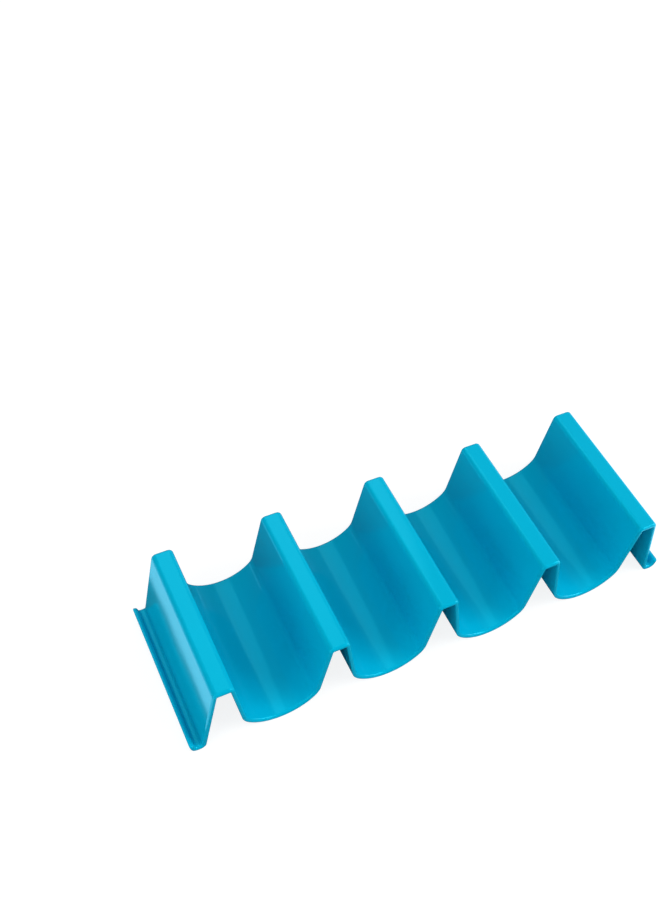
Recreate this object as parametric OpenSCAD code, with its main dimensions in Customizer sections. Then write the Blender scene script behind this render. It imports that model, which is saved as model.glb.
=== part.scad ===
// Rack for a row of filled tacos, moulded in one piece from a single folded wall.
// Four U-shaped troughs hang between five flat ridges, and the two end ridges come down
// as legs with a turned-out foot. X runs along the row, Y through the troughs, Z up.
// The origin is on the table, under the middle of the rack.

/* [Rack] */
// Number of troughs
troughs = 4; // [2:1:6]
// Distance from one ridge to the next
pitch = 50; // [46:0.5:60]
// Height over all
height = 40.5; // [34:0.5:46]
// Depth from the front rim to the back rim
depth = 72; // [40:1:110]
// Thickness of the moulded wall
wall = 1.9; // [1.2:0.1:2.2]

/* [Ridges] */
// Width across the top of a ridge, before its edges are rounded
ridge_w = 9; // [8:0.1:13]
// Radius along the upper edges of a ridge
ridge_r = 2.4; // [0.8:0.1:3]
// Radius in the corners under a ridge
root_r = 0.5; // [0.3:0.1:1]

/* [Troughs] */
// Lean of the trough walls, in degrees from upright
draft = 9.5; // [7:0.5:12]
// Height that the curved floor climbs before it reaches the wall
floor_rise = 8.6; // [6:0.1:9.5]
// Radius between the curved floor and the wall
corner_r = 9; // [4:0.5:10]

/* [Legs and feet] */
// Lean of the end legs, in degrees from upright
leg_lean = 9; // [5:0.5:12]
// Width of the foot between the leg and the lip, along its upper face
foot_w = 2.7; // [2.2:0.1:8]
// Height of the lip above the table
lip_h = 5; // [4:0.1:9]
// Lean of the lip, in degrees from upright
lip_lean = 15; // [5:1:25]
// Inner radius where the leg turns into the foot, and the foot into the lip
bend_r = 1; // [0.4:0.1:1.2]

/* [Hidden] */
$fn = 128;

// Arcs are drawn this much larger, so that they cross the flats instead of only touching them.
hair = 0.0005;
// How far a cutting shape runs past what it cuts.
clear = 1;

// Half the width of a trough at its mouth, and at the height where floor and wall would meet.
mouth = (pitch - ridge_w) / 2;
crease = mouth - (height - wall - floor_rise) * tan(draft);
// The floor is one arc through both creases and the lowest line of the trough.
floor_r = (crease * crease + floor_rise * floor_rise) / (2 * floor_rise);
floor_z = wall + floor_r;
// Direction, from straight down, in which the floor arc hands over to the corner arc.
turn = asin((mouth * cos(draft) - (height - floor_z) * sin(draft) - corner_r)
    / (floor_r - corner_r)) - draft;
// Centre of the corner arc.
corner = [(floor_r - corner_r) * sin(turn), floor_z - (floor_r - corner_r) * cos(turn)];

// Centres of the arcs at the two bends of the foot, measured from the end ridge.
bend_z = wall + bend_r;
leg_foot_x = ridge_w / 2 + (height - wall) * tan(leg_lean);
leg_bend = [leg_side(bend_z) + bend_r / cos(leg_lean), bend_z];
lip_bend = [lip_side(bend_z) - bend_r / cos(lip_lean), bend_z];

// Outer face of the leg and inner face of the lip: the distance from the end ridge at a height.
function leg_side(z) = ridge_w / 2 + (height - z) * tan(leg_lean);
function lip_side(z) = leg_foot_x + foot_w + (z - wall) * tan(lip_lean);

function mirrored(points) = [for (i = [len(points) - 1:-1:0]) [-points[i].x, points[i].y]];

// A side of a ridge leans as a trough wall, but the outer sides of the end ridges as a leg.
function side_lean(ridge, side) =
    ridge == 0 && side < 0 || ridge == troughs && side > 0 ? leg_lean : draft;

// Space of one trough, centred on it, grown by the given wall and open to the height `top`.
module trough_space(grow, top) {
    reach = corner_r + grow;
    foot = corner + reach * [cos(draft), -sin(draft)];
    side = [foot, [foot.x + (top - foot.y) * tan(draft), top]];
    spread = (floor_r + grow + clear) * [tan(turn), -1];

    polygon(concat([[0, wall + floor_rise / 2]], side, mirrored(side)));
    for (x = [-corner.x, corner.x])
        translate([x, corner.y])
            circle(reach + hair);
    translate([0, floor_z])
        intersection() {
            circle(floor_r + grow);
            polygon([[0, 0], [-spread.x, spread.y], spread]);
        }
}

// Space above the right-hand foot, between the leg and the lip, grown by the given wall.
// The leg side is open to the height `top`, and the lip side to `lip_top`.
module foot_space(grow, top, lip_top) {
    reach = bend_r + grow;
    leg_face = leg_bend - reach * [cos(leg_lean), sin(leg_lean)];
    lip_face = lip_bend + reach * [cos(lip_lean), -sin(lip_lean)];

    intersection() {
        union() {
            polygon([
                [leg_face.x - (top - leg_face.y) * tan(leg_lean), top],
                leg_face,
                leg_bend - [0, reach],
                lip_bend - [0, reach],
                lip_face,
                [lip_face.x + (top - lip_face.y) * tan(lip_lean), top]
            ]);
            for (bend = [leg_bend, lip_bend])
                translate(bend)
                    circle(reach + hair);
        }
        // Above the lip, only the side with the leg is kept.
        union() {
            translate([0, -clear])
                square([lip_bend.x - grow / 2, top + 2 * clear]);
            translate([0, -clear])
                square([lip_side(top) + 2 * reach, lip_top + clear]);
        }
    }
}

// What lies between a sharp corner and the arc that rounds it. The corner is at the origin:
// one side runs level to the left of it, and the other falls away to the right.
module corner_sliver(r, lean) {
    centre = [r * tan(lean) - r / cos(lean), -r];
    past = wall / 2;
    difference() {
        polygon([
            centre,
            centre + (r + past) * [cos(lean), sin(lean)],
            [past, past],
            [centre.x, past]
        ]);
        translate(centre)
            circle(r + hair);
    }
}

module at_troughs() {
    for (i = [0:troughs - 1])
        translate([(i - (troughs - 1) / 2) * pitch, 0])
            children();
}

module at_feet() {
    for (side = [0, 1])
        mirror([side, 0])
            translate([troughs * pitch / 2, 0])
                children();
}

// Calls its children at both sides of every ridge, facing outwards, with $lean set.
module at_ridge_sides() {
    for (i = [0:troughs], side = [-1, 1])
        translate([(i - troughs / 2) * pitch, 0])
            mirror([side < 0 ? 1 : 0, 0])
                let ($lean = side_lean(i, side))
                    children();
}

// Cross-section of the rack, the same from the front rim to the back one.
module rack_section() {
    difference() {
        union() {
            at_troughs()
                trough_space(wall, height);
            at_feet()
                foot_space(wall, height, lip_h);
            for (i = [0:troughs])
                translate([(i - troughs / 2) * pitch - ridge_w / 2, height - wall])
                    square([ridge_w, wall]);
            at_ridge_sides()
                translate([ridge_w / 2 - wall / cos($lean) + wall * tan($lean), height - wall])
                    corner_sliver(root_r, $lean);
        }
        at_troughs()
            trough_space(0, height + clear);
        at_feet()
            foot_space(0, height + clear, lip_h + clear);
        at_ridge_sides()
            translate([ridge_w / 2, height])
                corner_sliver(ridge_r, $lean);
    }
}

module taco_rack() {
    color([0.02, 0.56, 0.74])
        rotate([90, 0, 0])
            linear_extrude(depth, center = true)
                rack_section();
}

taco_rack();
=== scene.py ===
import math

import bmesh
import bpy
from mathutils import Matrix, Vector


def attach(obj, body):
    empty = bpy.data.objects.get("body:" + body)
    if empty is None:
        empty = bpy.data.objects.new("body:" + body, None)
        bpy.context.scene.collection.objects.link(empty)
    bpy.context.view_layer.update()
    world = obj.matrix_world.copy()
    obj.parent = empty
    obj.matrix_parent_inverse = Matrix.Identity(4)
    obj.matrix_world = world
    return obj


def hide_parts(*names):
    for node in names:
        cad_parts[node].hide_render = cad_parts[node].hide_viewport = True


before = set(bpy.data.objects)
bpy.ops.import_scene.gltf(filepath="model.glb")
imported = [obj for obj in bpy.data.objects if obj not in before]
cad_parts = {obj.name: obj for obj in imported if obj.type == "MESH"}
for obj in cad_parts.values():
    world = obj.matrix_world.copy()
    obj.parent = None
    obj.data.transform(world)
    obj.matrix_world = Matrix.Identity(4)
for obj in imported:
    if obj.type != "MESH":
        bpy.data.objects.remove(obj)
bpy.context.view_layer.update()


# The folded wall
# The whole rack is one wall of opaque ABS plastic, folded into four troughs, five ridges
# and a foot at each end, and moulded in one shot. Here its upper surface is drawn as a
# line of folds and arcs, pulled through the depth, and given the wall's thickness.

mm = 0.001
pitch = 50 * mm
troughs = 4
height = 40.5 * mm
depth = 72 * mm
wall = 1.9 * mm
ridge_width = 9 * mm
ridge_radius = 2.4 * mm
draft = math.radians(9.5)
floor_rise = 8.6 * mm
corner_radius = 9 * mm
touching = 0.01 * mm

# The trough's floor is one large arc, and a smaller one carries it into the wall.
mouth = (pitch - ridge_width) / 2
crease = mouth - (height - wall - floor_rise) * math.tan(draft)
floor_radius = (crease ** 2 + floor_rise ** 2) / (2 * floor_rise)
floor_centre = Vector((0, 0, wall + floor_radius))
apart = floor_radius - corner_radius
turn = math.asin(
    (mouth * math.cos(draft) - (height - floor_centre.z) * math.sin(draft) - corner_radius) / apart
) - draft
corner_centre = floor_centre + apart * Vector((math.sin(turn), 0, -math.cos(turn)))
wall_foot = corner_centre + corner_radius * Vector((math.cos(draft), 0, -math.sin(draft)))

rack = bmesh.new()


def verts_of(geometry):
    """The vertices among what an operator returns."""
    return [part for part in geometry if isinstance(part, bmesh.types.BMVert)]


def run_to(last, point):
    """Runs the line straight on to a point, and returns its last vertex."""
    vert = rack.verts.new(point)
    rack.edges.new((last, vert))
    return vert


def sweep(last, centre, angle, steps):
    """Carries the line on along an arc, and returns its last vertex."""
    swept = bmesh.ops.spin(
        rack, geom=[last], cent=centre, axis=(0, 1, 0), angle=angle, steps=steps, use_duplicate=False
    )
    return verts_of(swept["geom_last"])[0]


def fold(last, corner, beyond, radius, steps):
    """Runs the line round a corner towards a point beyond it, and returns its last vertex."""
    into, out = (corner - last.co).normalized(), (beyond - corner).normalized()
    angle = into.angle(out)
    start = run_to(last, corner - into * radius * math.tan(angle / 2))
    centre = corner + (out - into).normalized() * radius / math.cos(angle / 2)
    return sweep(start, centre, math.copysign(angle, into.cross(out).y), steps)


# Half a trough, from the middle of a ridge down to the lowest line, then the other half. The
# underside of a ridge's edge has what is left of its radius under the wall, 0.5 mm.
last = rack.verts.new((pitch / 2, 0, height))
last = fold(last, Vector((mouth, 0, height)), wall_foot, ridge_radius, steps=8)
last = run_to(last, wall_foot)
last = sweep(last, corner_centre, math.pi / 2 - draft - turn, steps=14)
sweep(last, floor_centre, turn, steps=18)
bmesh.ops.mirror(rack, geom=rack.verts[:] + rack.edges[:], axis="X", merge_dist=touching)

# The same trough four times along the row.
bmesh.ops.translate(rack, verts=rack.verts[:], vec=(-(troughs - 1) / 2 * pitch, 0, 0))
trough = rack.verts[:] + rack.edges[:]
for number in range(1, troughs):
    copy = bmesh.ops.duplicate(rack, geom=trough)["geom"]
    bmesh.ops.translate(rack, verts=verts_of(copy), vec=(number * pitch, 0, 0))

# Each end ridge comes down as a leg, turns out into a foot and ends in an upright lip.
leg_lean = math.radians(9)
lip_lean = math.radians(15)
foot_width = 2.7 * mm
lip_height = 5 * mm
bend_radius = 1 * mm
end_ridge = troughs * pitch / 2
leg_top = end_ridge + ridge_width / 2
leg_foot = leg_top + (height - wall) * math.tan(leg_lean)
lip_foot = leg_foot + foot_width
lip_top = lip_foot + (lip_height - wall) * math.tan(lip_lean)
for side in (-1, 1):
    top, heel, toe, tip = (
        Vector((side * x, 0, z))
        for x, z in ((leg_top, height), (leg_foot, wall), (lip_foot, wall), (lip_top, lip_height))
    )
    last = rack.verts.new((side * end_ridge, 0, height))
    last = fold(last, top, heel, ridge_radius, steps=8)
    last = fold(last, heel, toe, bend_radius, steps=10)
    last = fold(last, toe, tip, bend_radius, steps=10)
    run_to(last, tip)
bmesh.ops.remove_doubles(rack, verts=rack.verts[:], dist=touching)

# The line is pulled through the depth of the rack, and the wall's thickness goes below it.
bmesh.ops.translate(rack, verts=rack.verts[:], vec=(0, -depth / 2, 0))
pulled = bmesh.ops.extrude_edge_only(rack, edges=rack.edges[:])["geom"]
bmesh.ops.translate(rack, verts=verts_of(pulled), vec=(0, depth, 0))
bmesh.ops.recalc_face_normals(rack, faces=rack.faces[:])
ridge_top = max(rack.faces, key=lambda face: face.calc_center_median().z)
if ridge_top.normal.z < 0:
    bmesh.ops.reverse_faces(rack, faces=rack.faces[:])
bmesh.ops.solidify(rack, geom=rack.faces[:], thickness=wall)

# The end of each lip is level, as high outside as inside.
for vert in rack.verts:
    if abs(vert.co.x) > lip_foot and abs(vert.co.z - lip_height) < wall / 2:
        rise = lip_height - vert.co.z
        vert.co += Vector((math.copysign(rise * math.tan(lip_lean), vert.co.x), 0, rise))

# The rims at front and back and the tops of the lips are well rounded on the upper side of
# the wall. What is then still sharp lies on its underside, and is only softened.
sharp = math.radians(60)
facing_down = -0.01
for upper, radius, segments in ((True, 1.2 * mm, 7), (False, 0.45 * mm, 4)):
    rims = [edge for edge in rack.edges if edge.calc_face_angle() > sharp]
    if upper:
        rims = [edge for edge in rims if all(face.normal.z > facing_down for face in edge.link_faces)]
    bmesh.ops.bevel(
        rack, geom=rims, offset=radius, offset_type="OFFSET", affect="EDGES",
        segments=segments, profile=0.5, material=-1, clamp_overlap=False,
    )
for face in rack.faces:
    face.smooth = True

shell = bpy.data.objects.new("folded_wall", bpy.data.meshes.new("folded_wall"))
bpy.context.scene.collection.objects.link(shell)
rack.to_mesh(shell.data)
rack.free()
# The shading follows the largest faces, so that flats stay flat beside the rounded rims.
even = shell.modifiers.new("flats stay flat", "WEIGHTED_NORMAL")
even.mode = "FACE_AREA"
even.weight = 100
even.keep_sharp = False


def fill(node, **inputs):
    """Sets a node's inputs, by name or by number as _0, and links those that are given a Value."""
    for name, value in inputs.items():
        spot = node.inputs[int(name[1:]) if name[1:].isdigit() else name.replace("_", " ")]
        if isinstance(value, Value):
            node.id_data.links.new(value.socket, spot)
        else:
            spot.default_value = value


class Value:
    """A node's output that can be reckoned with like a number."""

    def __init__(self, socket):
        self.socket = socket

    def node(self, kind, settings=None, output=0, **inputs):
        """Adds a node beside this one, fills its inputs, and returns one of its outputs."""
        made = self.socket.id_data.nodes.new(kind)
        for name, setting in (settings or {}).items():
            setattr(made, name, setting)
        fill(made, **inputs)
        return Value(made.outputs[output])

    def mix(self, first, second):
        """Goes from the first colour to the second as this value goes from 0 to 1."""
        return self.node("ShaderNodeMix", {"data_type": "RGBA"}, 2, _0=self, _6=first, _7=second)

    def math(self, operation, other=0.0):
        return self.node("ShaderNodeMath", {"operation": operation}, _0=self, _1=other)

    def __add__(self, other):
        return self.math("ADD", other)

    def __mul__(self, other):
        return self.math("MULTIPLY", other)

    __radd__, __rmul__ = __add__, __mul__


plastic = bpy.data.materials.new("blue_abs")
plastic.use_nodes = True
tree = plastic.node_tree
on_rack = Value(tree.nodes.new("ShaderNodeTexCoord").outputs["Object"])


def noise(scale, detail, stretch=(1, 1, 1)):
    """Soft noise, so many waves to a metre, drawn out along an axis by a small stretch."""
    stretched = on_rack.node("ShaderNodeMapping", Vector=on_rack, Scale=stretch)
    return on_rack.node("ShaderNodeTexNoise", Vector=stretched, Scale=scale, Detail=detail)


# Flow marks left by the moulding: broad, faint and drawn out along the row.
deep_blue, light_blue = (0.0, 0.425, 0.65, 1), (0.0, 0.455, 0.69, 1)
tone = noise(22, 2, (0.5, 1, 1)).mix(deep_blue, light_blue)
# The gloss is a little uneven, with the finest of scratches through the troughs.
scratches = noise(900, 3, (1, 0.06, 1))
gloss = 0.09 + 0.03 * noise(60, 4) + 0.03 * scratches
# The surface is very slightly wavy, as thick moulded walls are.
wavy = on_rack.node("ShaderNodeBump", Strength=0.12, Distance=0.002, Height=noise(35, 1))
fill(
    tree.nodes["Principled BSDF"], Base_Color=tone, Roughness=gloss, Normal=wavy, IOR=1.54,
    Specular_Tint=(0.02, 0.85, 1.0, 1.0),
)
shell.data.materials.append(plastic)

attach(shell, "root")
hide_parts("taco_rack")


# The floor
# A plain sheet of matt white paper, larger than the camera sees, with nothing else on it.
# The rack stands loose in the middle of it.

half_side = 3
sheet = bmesh.new()
bmesh.ops.create_grid(sheet, x_segments=1, y_segments=1, size=half_side)
floor = bpy.data.objects.new("floor", bpy.data.meshes.new("floor"))
bpy.context.scene.collection.objects.link(floor)
sheet.to_mesh(floor.data)
sheet.free()

white = bpy.data.materials.new("white_sheet")
white.use_nodes = True
tree = white.node_tree
path = tree.nodes.new("ShaderNodeLightPath")
seen = Value(path.outputs["Is Camera Ray"])
glossed = Value(path.outputs["Is Glossy Ray"])
on_sheet = Value(tree.nodes.new("ShaderNodeTexCoord").outputs["Object"])
across = on_sheet.node("ShaderNodeSeparateXYZ", output="X", Vector=on_sheet).math("ABSOLUTE")
# Where the painted reflection lies: 0 under, before and behind the rack, and 1 beside its ends, from
# a little past its feet on.
painted_reflection_zone = on_sheet.node(
    "ShaderNodeMapRange", {"interpolation_type": "SMOOTHSTEP"},
    Value=across, From_Min=119.2 * mm, From_Max=120.7 * mm,
)


def grey(level):
    return (level, level, level, 1)


# The camera sees the sheet white, with a faint shadow. In the plastic's gloss the sheet is painted: a
# bright, bluish painted reflection beside the rack's ends, and painted shade, nearly black, under,
# before and behind the rack. The light that it throws back is that of pale paper.
# To glossy rays the sheet is painted nearly black: painted shade in the reflection.
bounce_and_painted_dark_gloss = glossed.mix(grey(0.72), grey(0.04))
tone = seen.mix(bounce_and_painted_dark_gloss, grey(0.22))
# A bright, bluish glow painted into the gloss beside the rack's ends: a painted reflection, not lamp
# light.
painted_reflection = (glossed * painted_reflection_zone).mix(grey(0.0), (0.5, 1.28, 1.65, 1))
white_and_painted_reflection = seen.mix(painted_reflection, grey(0.86))
fill(
    tree.nodes["Principled BSDF"], Base_Color=tone, Roughness=0.8, Specular_IOR_Level=0.1,
    Emission_Color=white_and_painted_reflection, Emission_Strength=1.0,
)
floor.data.materials.append(white)


# The light
# A soft, even room that is brightest overhead, and five softboxes: one that hangs level over
# the back, and four that face the rack from the front and the sides.

world = bpy.data.worlds.new("room")
bpy.context.scene.world = world
world.use_nodes = True
tree = world.node_tree
sky = Value(tree.nodes.new("ShaderNodeTexCoord").outputs["Generated"])
up = sky.node("ShaderNodeSeparateXYZ", output="Z", Vector=sky).math("MAXIMUM", 0.0)
room = 0.2 + 0.72 * up.math("POWER", 4.0)
# The camera sees plain white in its place.
seen = Value(tree.nodes.new("ShaderNodeLightPath").outputs["Is Camera Ray"])
fill(tree.nodes["Background"], Color=(1, 1, 1, 1), Strength=seen.math("MAXIMUM", room))


def softbox(name, place, width, length, watts):
    """A rectangular lamp that faces the middle of the rack."""
    lamp = bpy.data.lights.new(name, "AREA")
    lamp.shape = "RECTANGLE"
    lamp.size, lamp.size_y = width, length
    lamp.energy = watts
    made = bpy.data.objects.new(name, lamp)
    bpy.context.scene.collection.objects.link(made)
    made.location = place
    made.rotation_euler = Vector(place).to_track_quat("Z", "Y").to_euler()
    return made


# The overhead one is oval and hangs level, and leaves the light band along each trough.
overhead = softbox("overhead", (0.0, 0.41, 0.51), width=0.44, length=0.52, watts=0.7)
overhead.data.shape = "ELLIPSE"
overhead.rotation_euler = (0, 0, math.radians(20))
softbox("key", (1.15, -0.75, 1.0), width=0.9, length=0.9, watts=15.8)
softbox("side", (1.2, -0.2, 0.35), width=0.6, length=0.5, watts=2.6)
softbox("left", (-0.9, -0.3, 1.0), width=0.6, length=0.6, watts=2.2)
softbox("fill", (-0.8, -0.25, 0.26), width=0.5, length=0.4, watts=1.7)


# The camera
# It stands where the photograph was taken from, above the rack's front left corner. Its place,
# turn and lens were fitted to the rack's outlines.

lens = bpy.data.cameras.new("camera")
lens.lens = 62.093
lens.sensor_width = 36
lens.sensor_fit = "HORIZONTAL"
camera = bpy.data.objects.new("camera", lens)
bpy.context.scene.collection.objects.link(camera)
camera.location = (-0.16548, -0.23078, 0.44311)
camera.rotation_euler = [math.radians(a) for a in (39.054, -2.593, -24.946)]
bpy.context.scene.camera = camera
bpy.context.scene.view_settings.view_transform = "Standard"
